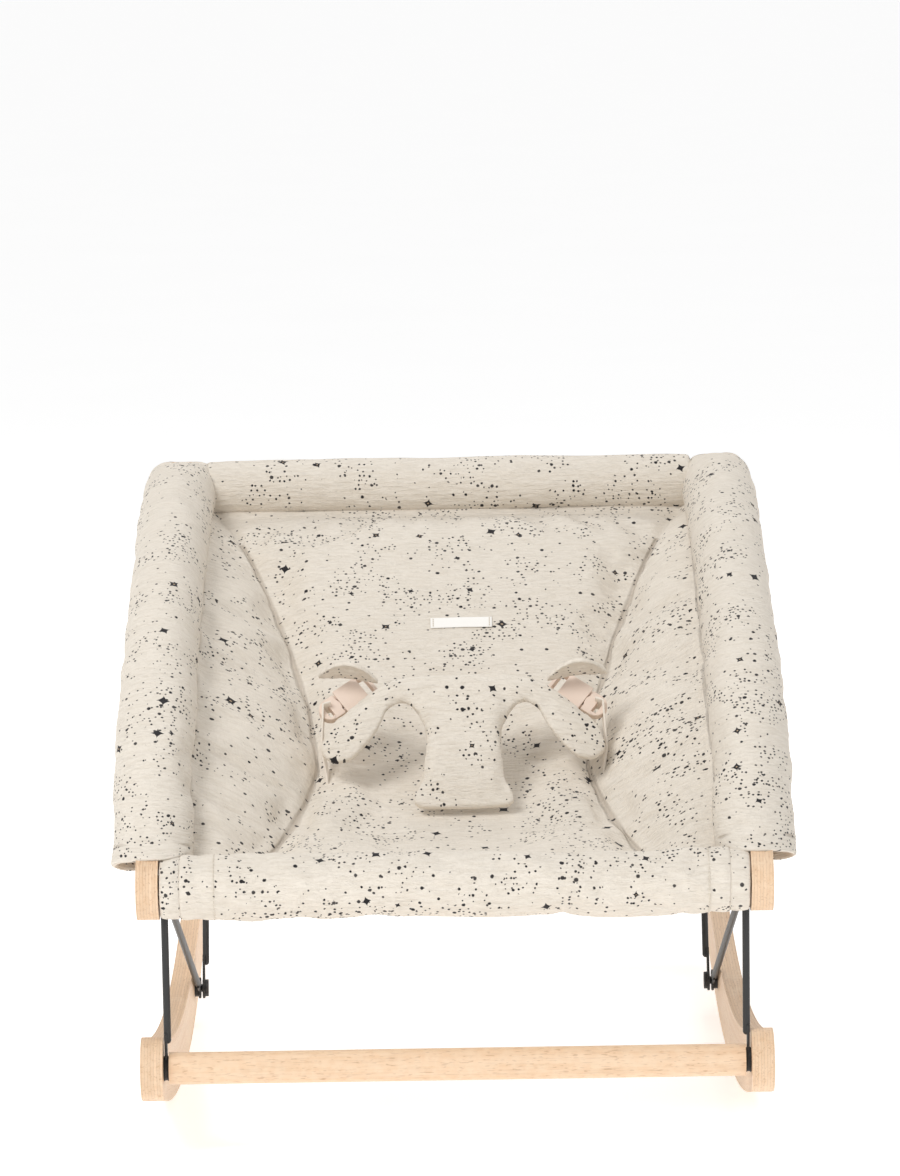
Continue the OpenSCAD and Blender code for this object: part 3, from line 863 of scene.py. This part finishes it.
class ROCKER_OT_sling(bpy.types.Operator):
    """Make the padded sling: a waisted middle panel between two panels that rise to the bolsters"""

    bl_idname = "rocker.sling"
    bl_label = "Sling"

    rows = 118
    half_columns = 40
    start = 0.020
    stop = SEAT_LEN - 0.016
    edge_x = RAIL_X - 0.0222
    edge_drop = 0.014
    seam_half = 0.0022

    def execute(self, context):
        z = sizes()
        s = np.linspace(self.start, self.stop, self.rows)[:, None]
        t = np.linspace(-1, 1, 2 * self.half_columns + 1)[None, :]
        seam = 0.6
        seam_x = waist_line(s)
        beside = self.edge_x - seam_x
        inner = np.abs(t) <= seam
        side = np.clip((np.abs(t) - seam) / (1 - seam), 0, 1)
        middle = np.clip(np.abs(t) / seam, 0, 1)
        x = np.sign(t) * np.where(inner, middle * seam_x, seam_x + side * beside)
        low = sling_height(s) - 0.013 * np.clip((s - 0.49) / 0.07, 0, 1) ** 2
        rim = rail_height(s) - self.edge_drop
        ends = np.clip(np.minimum(s - self.start, self.stop - s) / 0.05, 0, 1) ** 0.5
        crown = ends * (0.0050 * (1 - middle ** 8) - 0.0030 * middle ** 30)
        room = np.clip(beside / 0.08, 0, 1)
        lift = side ** 1.25 * (rim - low)
        bulge = ends * room * (0.008 * np.sin(math.pi * side) ** 0.6) - 0.0030 * (1 - side) ** 30 * ends
        top = low + np.where(inner, crown, lift + bulge)
        closed = np.ones_like(s)
        closed[[0, -1]] = 0
        thick = closed * z.sling_t * (0.35 + 0.65 * ends) * np.where(np.abs(t) > 0.97, 0.5, 1.0)
        under = top - thick
        rings = np.concatenate([on_seat(s, top, x), on_seat(s, under, x)[:, ::-1]], axis=1)
        rings = np.concatenate([rings, rings[:, :1]], axis=1)
        run = np.broadcast_to(s, top.shape)
        spread = np.concatenate([x, x[:, ::-1] + 1.0, x[:, :1] + 1.0], axis=1)
        upward = np.concatenate([run, run[:, ::-1], run[:, :1]], axis=1)
        obj = loft("sling_cover", rings, np.stack([spread, upward], axis=-1), material("cotton"))
        self.fill(obj)
        refine(obj, gather=0.0012)
        finish_soft(obj, "seat_sling")
        return {"FINISHED"}

    def fill(self, obj):
        """Swells the panels between the seams, which stay."""
        places = get_places(obj)
        rel = places - np.array(FRONT)
        s, n, x = rel @ ALONG, rel @ OUT, np.abs(places[:, 0])
        seam_x = waist_line(s)
        from_seam = np.abs(x - seam_x)
        edges = (x > self.edge_x - 0.004) | (s < self.start + 0.004) | (s > self.stop - 0.004)
        side = np.clip((x - seam_x) / (self.edge_x - seam_x), 0, 1)
        rise = rail_height(s) - self.edge_drop - sling_height(s)
        under = n < sling_height(s) + side * rise - 0.4 * sizes().sling_t
        mark_seam_and_shade(obj, np.clip(1 - from_seam / self.seam_half, 0, 1) * ~under)
        held = (from_seam < self.seam_half) | edges | under
        swell(obj, held, pressure=3.0, slack=0.035, cap=0.006, steps=16)


class ROCKER_OT_bolsters(bpy.types.Operator):
    """Make the padded sleeves round the seat rails, open below on the inner side for the folded rods"""

    bl_idname = "rocker.bolsters"
    bl_label = "Bolsters"

    rows = 124
    arc_points = 34
    drop = 0.0035
    start = 0.006
    slot_split = RAIL_HALF + 0.006
    slot_side = RAIL_HALF + 0.0122
    lip = 0.0115
    lip_half = 0.0030
    undercut = 0.78
    undercut_from = 0.0245
    mouth = ((0.62, -0.030), (0.74, -0.026), (0.79, -0.012), (0.82, -0.004), (0.86, 0.0), (0.91, 0.0018),
             (0.96, 0.0016), (0.99, 0.0006))
    tail = (0.965, 0.90, 0.80, 0.62, 0.40, 0.18, 0.02)

    def section(self):
        """Outline of a sleeve: (inwards, upwards) from the rail's middle, round from the slot's rail side."""
        z = sizes()
        slot_near, slot_far, slot_top = RAIL_HALF + 0.0002, RAIL_HALF + 0.0125, 0.0102
        start = math.asin((slot_near + 0.001) / z.bolster_r)
        stop = math.asin((slot_far + 0.002) / z.bolster_r)
        sweep = np.linspace(-math.pi / 2 + start, -math.pi / 2 - 2 * math.pi + stop, self.arc_points)
        arc = np.stack([z.bolster_r * np.cos(sweep), z.bolster_r * np.sin(sweep) - self.drop], axis=-1)
        rise = np.linspace(arc[-1][1] + 0.002, slot_top - 0.002, 5)
        up = np.stack([np.full(5, slot_far), rise], axis=-1)
        down = np.stack([np.full(6, slot_near), np.linspace(slot_top - 0.001, arc[0][1] + 0.002, 6)], axis=-1)
        roof = np.array([[slot_far - 0.004, slot_top], [slot_near + 0.004, slot_top]])
        return np.concatenate([arc, up, roof, down, arc[:1]])

    def execute(self, context):
        outline = self.section()
        girth = np.concatenate([[0], np.cumsum(np.linalg.norm(np.diff(outline, axis=0), axis=1))])
        stop = SEAT_LEN + 0.0065
        for side, sign in SIDES.items():
            rings, cloth = [], []
            for size, ahead in self.mouth:
                rings.append(self.ring(self.start - ahead, outline, size, sign))
                cloth.append(self.laid(girth * size, self.start - ahead, sign))
            for place in np.linspace(self.start, stop, self.rows):
                rings.append(self.ring(place, outline, 1.0, sign))
                cloth.append(self.laid(girth, place, sign))
            for k, size in enumerate(self.tail):
                place = stop + 0.0015 * (k + 1) ** 0.5
                rings.append(self.ring(place, outline, size, sign, slotted=False))
                cloth.append(self.laid(girth * size, place + 0.006 * k, sign))
            obj = loft(f"bolster_{side}_sleeve", np.array(rings), np.array(cloth), material("cotton"),
                       capped=True)
            rel = get_places(obj) - np.array(FRONT)
            x, s, n = np.abs(rel[:, 0]), rel @ ALONG, rel @ OUT
            slot = (x > RAIL_IN - 0.0127) & (x < RAIL_IN + 0.0005)
            slot &= n < rail_height(np.clip(s, 0, SEAT_LEN)) + 0.0105
            below = self.undercut_from - (n - rail_height(np.clip(s, 0, 0.1)))
            from_lip = np.abs(s - self.undercut * below - self.start - self.lip)
            mark_seam_and_shade(obj, np.clip(1 - from_lip / self.lip_half, 0, 1) * ~slot)
            swell(obj, slot, pressure=2.0, slack=0.05, cap=0.0028, steps=14)
            refine(obj, crinkle=0.0004, gather=0.0016)
            self.open_slot(obj)
            finish_soft(obj, f"side_bolster_{side}")
        return {"FINISHED"}

    def laid(self, girth, place, sign):
        """The cloth's flat places round one ring."""
        return np.stack([girth + 0.3 * sign, np.full_like(girth, place)], axis=-1)

    def open_slot(self, obj):
        """Presses both walls of the slot flat, so that the folded rods have room."""
        places = get_places(obj)
        rel = places - np.array(FRONT)
        inward = RAIL_X - np.abs(rel[:, 0])
        below = (rel @ OUT) < rail_height(np.clip(rel @ ALONG, 0, SEAT_LEN)) + 0.008
        near = below & (inward > RAIL_HALF) & (inward < self.slot_split)
        far = below & (inward >= self.slot_split) & (inward < self.slot_side)
        inward = np.where(near, RAIL_HALF + 0.0001, np.where(far, self.slot_side, inward))
        places[:, 0] = np.sign(rel[:, 0]) * (RAIL_X - inward)
        set_places(obj, places)

    def ring(self, place, outline, size, sign, slotted=True):
        """The sleeve's outline at one place along the rail. A slotted one keeps the slot at any size."""
        middle = np.array([0.0, -self.drop])
        shaped = middle + (outline - middle) * size
        slot = np.arange(len(outline)) >= self.arc_points
        slot[-1] = False
        beyond = outline[:, 0] > self.slot_side
        if slotted:
            shaped[slot] = outline[slot]
            shaped[beyond, 0] = np.maximum(shaped[beyond, 0], self.slot_side + 0.0004)
        tail = np.clip((place - SEAT_LEN + 0.05) / 0.05, 0, 1) ** 2
        above = np.clip(shaped[:, 1] - 0.014, 0, None)
        shaped[:, 1] -= 0.45 * tail * above
        cut = self.undercut * (self.undercut_from - shaped[:, 1]) * np.clip(1 - place / SEAT_LEN, 0, 1.1)
        place = place + cut
        along = np.clip(place, 0, SEAT_LEN)
        half = SEAT_LEN / 2
        tilt = np.arcsin((half - along) / sizes().bend_r)
        s = place - shaped[:, 1] * np.sin(tilt)
        n = rail_height(along) + shaped[:, 1] * np.cos(tilt)
        return on_seat(s, n, sign * (RAIL_X - shaped[:, 0]))


def roll_rings(centre, half, radius, rows, columns, cap=0.006):
    """Rings of a filled roll across the seat with soft round ends, and its cloth."""
    turn = np.linspace(0, 2 * math.pi, columns + 1)
    across = list(np.linspace(-half + cap, half - cap, rows))
    size = [1.0] * rows
    for k in range(1, 7):
        tilt = k / 6 * math.pi / 2
        for sign in (-1, 1):
            at = 0 if sign < 0 else len(across)
            across.insert(at, sign * (half - cap + cap * math.sin(tilt)))
            size.insert(at, max(0.02, math.cos(tilt) ** 0.55))
    rings, cloth = [], []
    for x, share in zip(across, size):
        ring = np.stack([np.full_like(turn, x), centre.y + radius * share * np.cos(turn),
                         centre.z + radius * share * np.sin(turn)], axis=-1)
        rings.append(ring)
        cloth.append(np.stack([np.full_like(turn, x), radius * turn + 2.0], axis=-1))
    return np.array(rings), np.array(cloth)


class ROCKER_OT_rolls(bpy.types.Operator):
    """Make the head roll and the fabric tube round the front bar"""

    bl_idname = "rocker.rolls"
    bl_label = "Rolls"

    seams = {"left": -0.162, "right": 0.171}
    seam_half = 0.0040
    end_angle = 232
    hang_angle = 225

    def execute(self, context):
        z = sizes()
        half = RAIL_X - 0.0185
        rings, cloth = roll_rings(REAR, half, z.roll_r - 0.0008, 76, 40)
        head = loft("head_roll_cover", rings, cloth, material("cotton"), capped=True)
        ends = np.abs(get_places(head)[:, 0]) > half - 0.003
        swell(head, ends, pressure=2.5, slack=0.04, cap=0.003, steps=14)
        refine(head, gather=0.0014)
        finish_soft(head, "head_roll")
        tube_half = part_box("front_tube")[1].x
        rings, cloth = roll_rings(FRONT, tube_half, z.tube_r - 0.0006, 80, 40, cap=0.002)
        cloth = cloth + np.array([0, 0.7])
        tube = loft("front_tube_cover", rings, cloth, material("cotton"), capped=True)
        x = get_places(tube)[:, 0]
        sewn = np.min([np.abs(x - seam) for seam in self.seams.values()], axis=0)
        mark_seam_and_shade(tube, 0.45 * np.clip(1 - sewn / self.seam_half, 0, 1))
        ends = (np.abs(x) > tube_half - 0.003) | (sewn < 0.0030)
        swell(tube, ends, pressure=1.5, slack=0.03, cap=0.002, steps=14)
        refine(tube, gather=0.0010)
        finish_soft(tube, "front_tube")
        turn = np.radians(np.arange(40, 271, 8))
        up = np.stack([np.zeros_like(turn), np.cos(turn), np.sin(turn)], axis=-1)
        for side, sign in SIDES.items():
            x = self.seams[side] + sign * 0.0005
            line = np.array(FRONT) + np.array((x, 0, 0)) + up * (z.tube_r - 0.0003)
            thread = stitches(f"tube_stitch_{side}", line, up, length=0.0024)
            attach(thread, "seat")
        for side, sign in SIDES.items():
            self.end_shroud(side, sign, tube_half)
        return {"FINISHED"}

    def end_shroud(self, side, sign, start):
        """The end of the tube, which hangs over the rod eyes."""
        z = sizes()
        stop = RAIL_IN - 0.0008
        tilt = math.atan2(ALONG[2], ALONG[1])
        angles = np.radians(np.linspace(8, self.end_angle, 34)) + tilt
        outer = z.tube_r - 0.0006
        inner = outer - 0.0035
        tucked = start - 0.003
        profile = [(tucked, outer), (stop - 0.002, outer), (stop, outer - 0.0015), (stop, inner + 0.001),
                   (stop - 0.002, inner), (tucked, inner), (tucked, outer)]
        girth = np.cumsum([0] + [math.dist(a, b) for a, b in zip(profile[:-1], profile[1:])])
        rings, cloth = [], []
        for angle in angles:
            rings.append([(sign * x, FRONT.y + r * math.cos(angle), FRONT.z + r * math.sin(angle))
                          for x, r in profile])
            cloth.append([(sign * (start + g), 2.7 + outer * angle) for g in girth])
        obj = loft(f"front_tube_end_{side}", np.array(rings), np.array(cloth), material("cotton"),
                   capped=True)
        refine(obj, crinkle=0.0002, gather=0.0006)
        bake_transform(obj)


class ROCKER_OT_harness(bpy.types.Operator):
    """Make the padded crotch piece and the covers over the buckles"""

    bl_idname = "rocker.harness"
    bl_label = "Harness"

    half_outline = [(0.0325, 0.000), (0.0305, 0.022), (0.0295, 0.045), (0.0315, 0.066), (0.0395, 0.0815),
                    (0.0525, 0.0815), (0.066, 0.064), (0.081, 0.0485), (0.0945, 0.0475), (0.1030, 0.059),
                    (0.098, 0.0755), (0.079, 0.0905), (0.058, 0.1010), (0.036, 0.1050)]

    def execute(self, context):
        z = sizes()
        right = np.array(self.half_outline)
        left = right[::-1] * (-1, 1)
        outline = smooth_loop(np.concatenate([right, left]), 5)
        pad = pillow("crotch_pad", outline, z.pad_t * 0.62, 0.0032, material("cotton"))
        places = get_places(pad)
        rim = np.abs(places[:, 2]) < z.pad_t * 0.10
        foot = places[:, 1] < 0.004
        mark_seam_and_shade(pad, np.clip(1.2 - np.abs(places[:, 2]) / (z.pad_t * 0.14), 0, 1))
        swell(pad, rim | foot, pressure=3.5, slack=0.03, cap=0.004, steps=16)
        relax(pad, 1)
        refine(pad, crinkle=0.0003, gather=0.0007)
        places = get_places(pad)
        v, u, w = places[:, 0], places[:, 1], places[:, 2]
        droop = np.clip(np.abs(v) - 0.036, 0, None)
        lean = 4.2 * droop ** 2
        set_places(pad, on_harness(u - 0.10 * droop, v, w + 0.5 * lean))
        finish_soft(pad, "harness_pad")
        for side, sign in SIDES.items():
            self.flap(side, sign)
        return {"FINISHED"}

    def flap(self, side, sign):
        """A small padded visor that stands back over a buckle."""
        centre = centre_of(f"harness_flap_{side}")
        low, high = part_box(f"harness_flap_{side}")
        half = (high.x - low.x) / 2 - 0.001
        depth = 0.0125
        crescent = [(-half, -0.006), (-0.6 * half, 0.006), (0, depth), (0.6 * half, 0.006), (half, -0.006),
                    (0.55 * half, -0.010), (0, -depth + 0.002), (-0.55 * half, -0.010)]
        outline = smooth_loop(crescent, 6)
        obj = pillow(f"buckle_cover_{side}", outline, 0.0030, 0.0014, material("cotton_flap"))
        places = get_places(obj)
        rim = np.abs(places[:, 2]) < 0.0006
        mark_seam_and_shade(obj, np.clip(1.2 - np.abs(places[:, 2]) / 0.0007, 0, 1))
        swell(obj, rim, pressure=3.0, slack=0.02, cap=0.0016, steps=12)
        places = get_places(obj)
        a, b, h = places.T
        _, du, dv, dw = harness_axes()
        dome = -7.0 * a ** 2 + 0.12 * sign * a
        world = np.array(centre) + a[:, None] * dv - b[:, None] * dw + (h + dome + 0.0030)[:, None] * du
        set_places(obj, world)
        finish_soft(obj, f"harness_flap_{side}")


def ribbon(name, spine, across, thick, material_name, steps=60):
    """A tape along a spine of places. across is the half-width vector at each place."""
    spine, across = np.asarray(spine, float), np.asarray(across, float)
    t = np.linspace(0, 1, len(spine))
    fine = np.linspace(0, 1, steps)
    spine = np.stack([np.interp(fine, t, spine[:, k]) for k in range(3)], axis=-1)
    across = np.stack([np.interp(fine, t, across[:, k]) for k in range(3)], axis=-1)
    run = np.gradient(spine, axis=0)
    run /= np.linalg.norm(run, axis=1, keepdims=True)
    up = np.cross(run, across)
    up /= np.linalg.norm(up, axis=1, keepdims=True)
    reach = np.concatenate([[0], np.cumsum(np.linalg.norm(np.diff(spine, axis=0), axis=1))])
    width = np.linalg.norm(across[0])
    spots = [(-1, -0.6), (-0.9, -1), (-0.45, -1), (0, -1), (0.45, -1), (0.9, -1), (1, -0.6),
             (1, 0.6), (0.9, 1), (0.45, 1), (0, 1), (-0.45, 1), (-0.9, 1), (-1, 0.6), (-1, -0.6)]
    rings = np.stack([spine + a * across + b * thick / 2 * up for a, b in spots], axis=1)
    cloth = np.stack([np.stack([np.full_like(reach, a * width + (0.1 if b > 0 else 0)), reach], axis=-1)
                      for a, b in spots], axis=1)
    return loft(name, rings, cloth, material(material_name), capped=True)


class ROCKER_OT_straps(bpy.types.Operator):
    """Make the webbing that comes out of the sling and holds each buckle's tongue"""

    bl_idname = "rocker.straps"
    bl_label = "Straps"

    def execute(self, context):
        _, du, dv, dw = harness_axes()
        for side, sign in SIDES.items():
            low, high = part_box(f"side_strap_{side}")
            root = np.array((low + high) / 2)
            root[2] = low.z - 0.002
            tongue = np.array(centre_of(f"buckle_tongue_{side}"))
            out = np.array((sign * 1.0, 0, 0))
            tip = tongue + out * 0.0085 - du * 0.002
            bow = (root + tip) / 2 + out * 0.004 + dw * 0.002
            knee = root * 0.75 + tip * 0.25 + out * 0.001
            over = tip + out * 0.0025 + du * 0.001
            path = [root, knee, bow, over, tip - out * 0.003 + du * 0.0028]
            wide = [ALONG * 0.009, ALONG * 0.009, ALONG * 0.006 + dw * 0.004, dw * 0.0085, dw * 0.0085]
            obj = ribbon(f"waist_webbing_{side}", path, wide, 0.0016, "webbing")
            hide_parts(f"side_strap_{side}")
            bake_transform(obj)
        return {"FINISHED"}


class ROCKER_OT_label(bpy.types.Operator):
    """Make the blank woven label and its stitches"""

    bl_idname = "rocker.label"
    bl_label = "Label"

    def execute(self, context):
        low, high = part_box("label")
        middle = (low + high) / 2
        half = (high.x - low.x) / 2
        s = float((np.array(middle) - np.array(FRONT)) @ ALONG)
        tall = 0.0065
        x = np.linspace(middle.x - half, middle.x + half, 24)
        context.view_layer.update()
        rows = np.linspace(-tall, tall, 7)
        heights = np.array([[self.height(s + b, a) for b in rows] for a in x])
        slope = float(np.mean(heights[:, -1] - heights[:, 0])) / (2 * tall)
        rests = np.max(heights - slope * rows, axis=1)
        rests = np.convolve(np.pad(rests, 2, mode="edge"), np.full(5, 0.2), mode="valid") + 0.0006
        run = ALONG + slope * OUT
        run /= np.linalg.norm(run)
        up = np.cross((1.0, 0, 0), run)
        spine = np.stack([on_seat(s, h, a) for h, a in zip(rests, x)])
        obj = ribbon("label_strip", spine, np.tile(run * tall, (len(x), 1)), 0.0006, "woven_label", steps=48)
        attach(obj, "seat")
        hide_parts("label")
        for name, at in (("near", 1), ("far", -2)):
            line = [spine[at] + run * b + up * 0.0005 for b in np.linspace(-tall * 0.85, tall * 0.85, 5)]
            thread = stitches(f"label_stitch_{name}", line, [up] * 5)
            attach(thread, "seat")
        return {"FINISHED"}

    def height(self, s, x):
        """Height of the sling's top over the seat's plane."""
        cover = bpy.data.objects["sling_cover"]
        inside = cover.matrix_world.inverted()
        hit, spot, _, _ = cover.ray_cast(inside @ Vector(on_seat(s, 0.1, x)), inside.to_3x3() @ Vector(-OUT))
        if not hit:
            raise RuntimeError("The label has no sling under it")
        return float((np.array(cover.matrix_world @ spot) - np.array(FRONT)) @ OUT)


# ---------------------------------------------------------------- stage

LIGHTS = (
    ("key", (-1.4, -1.7, 2.4), (0, 0, 0.25), 1.3, 46),
    ("fill", (2.0, -1.6, 1.2), (0, 0, 0.25), 1.8, 7),
    ("back", (0.5, 1.8, 2.2), (0, 0.1, 0.25), 1.6, 18),
)
CAMERA_PLACE = (0, -3.632, 0.858)
CAMERA_PITCH = math.radians(8.0)
CAMERA_ROLL = math.radians(0.9)
WORLD_LIGHT, WORLD_SEEN = 0.55, 1.0


def soft_light(name, place, target, size, power):
    light = bpy.data.lights.new(name, "AREA")
    light.shape = "DISK"
    light.size = size
    light.energy = power
    obj = bpy.data.objects.new(name, light)
    obj.location = place
    obj.rotation_euler = (Vector(target) - Vector(place)).to_track_quat("-Z", "Y").to_euler()
    bpy.context.scene.collection.objects.link(obj)


class ROCKER_OT_stage(bpy.types.Operator):
    """Make the floor, the lights and the camera"""

    bl_idname = "rocker.stage"
    bl_label = "Stage"

    def execute(self, context):
        scene = context.scene
        mesh = bpy.data.meshes.new("floor")
        mesh.from_pydata([(-30, -9, 0), (30, -9, 0), (30, 70, 0), (-30, 70, 0)], [], [(0, 1, 2, 3)])
        finish, tree, shader = new_material("floor", 0.9, Emission_Color=(1, 1, 1, 1), Emission_Strength=0.46)
        tone = cloud(tree, own_place(tree), (3, 3, 3))
        tree.links.new(blend_colours(tree, tone, (0.90, 0.90, 0.90), (0.93, 0.93, 0.93)),
                       shader.inputs["Base Color"])
        floor = add_object("floor", mesh, finish)
        world = bpy.data.worlds.new("studio")
        world.use_nodes = True
        world.node_tree.nodes["Background"].inputs["Color"].default_value = (1, 1, 1, 1)
        tree = world.node_tree
        seen = tree.nodes.new("ShaderNodeLightPath").outputs["Is Camera Ray"]
        strength = maths(tree, "MULTIPLY_ADD", seen, WORLD_SEEN - WORLD_LIGHT, WORLD_LIGHT)
        tree.links.new(strength, tree.nodes["Background"].inputs["Strength"])
        scene.world = world
        for light in LIGHTS:
            soft_light(*light)
        scene.view_settings.view_transform = "Standard"
        lens = bpy.data.cameras.new("camera")
        lens.lens = 152.8
        lens.sensor_width = 36
        camera = bpy.data.objects.new("camera", lens)
        camera.location = CAMERA_PLACE
        camera.rotation_mode = "QUATERNION"
        tilt = Matrix.Rotation(math.pi / 2 - CAMERA_PITCH, 3, "X")
        camera.rotation_quaternion = (tilt @ Matrix.Rotation(-CAMERA_ROLL, 3, "Z")).to_quaternion()
        scene.collection.objects.link(camera)
        scene.camera = camera
        return {"FINISHED"}


# ---------------------------------------------------------------- add-on

class ROCKER_PT_panel(bpy.types.Panel):
    """Sizes, colours and the steps that build the rocker"""

    bl_idname = "ROCKER_PT_panel"
    bl_label = "Padded rocker"
    bl_space_type = "VIEW_3D"
    bl_region_type = "UI"
    bl_category = "Rocker"

    def draw(self, context):
        scene = context.scene
        for group in (scene.rocker_sizes, scene.rocker_colours):
            for name in group.__annotations__:
                self.layout.prop(group, name)
        for step in STEPS:
            self.layout.operator(step.bl_idname)


STEPS = (ROCKER_OT_wood, ROCKER_OT_steel, ROCKER_OT_sling, ROCKER_OT_bolsters, ROCKER_OT_rolls,
         ROCKER_OT_harness, ROCKER_OT_buckles, ROCKER_OT_straps, ROCKER_OT_label, ROCKER_OT_stage)
CLASSES = (RockerSizes, RockerColours, *STEPS, ROCKER_PT_panel)


def register():
    for cls in CLASSES:
        bpy.utils.register_class(cls)
    bpy.types.Scene.rocker_sizes = bpy.props.PointerProperty(type=RockerSizes)
    bpy.types.Scene.rocker_colours = bpy.props.PointerProperty(type=RockerColours)


def unregister():
    del bpy.types.Scene.rocker_sizes
    del bpy.types.Scene.rocker_colours
    for cls in reversed(CLASSES):
        bpy.utils.unregister_class(cls)


def main():
    register()
    for build in (build_print_group, build_gauze_group, build_beech_group, build_wear_group,
                  build_webbing_group):
        build()
    for step in STEPS:
        family, name = step.bl_idname.split(".")
        getattr(getattr(bpy.ops, family), name)()


if __name__ == "__main__":
    main()
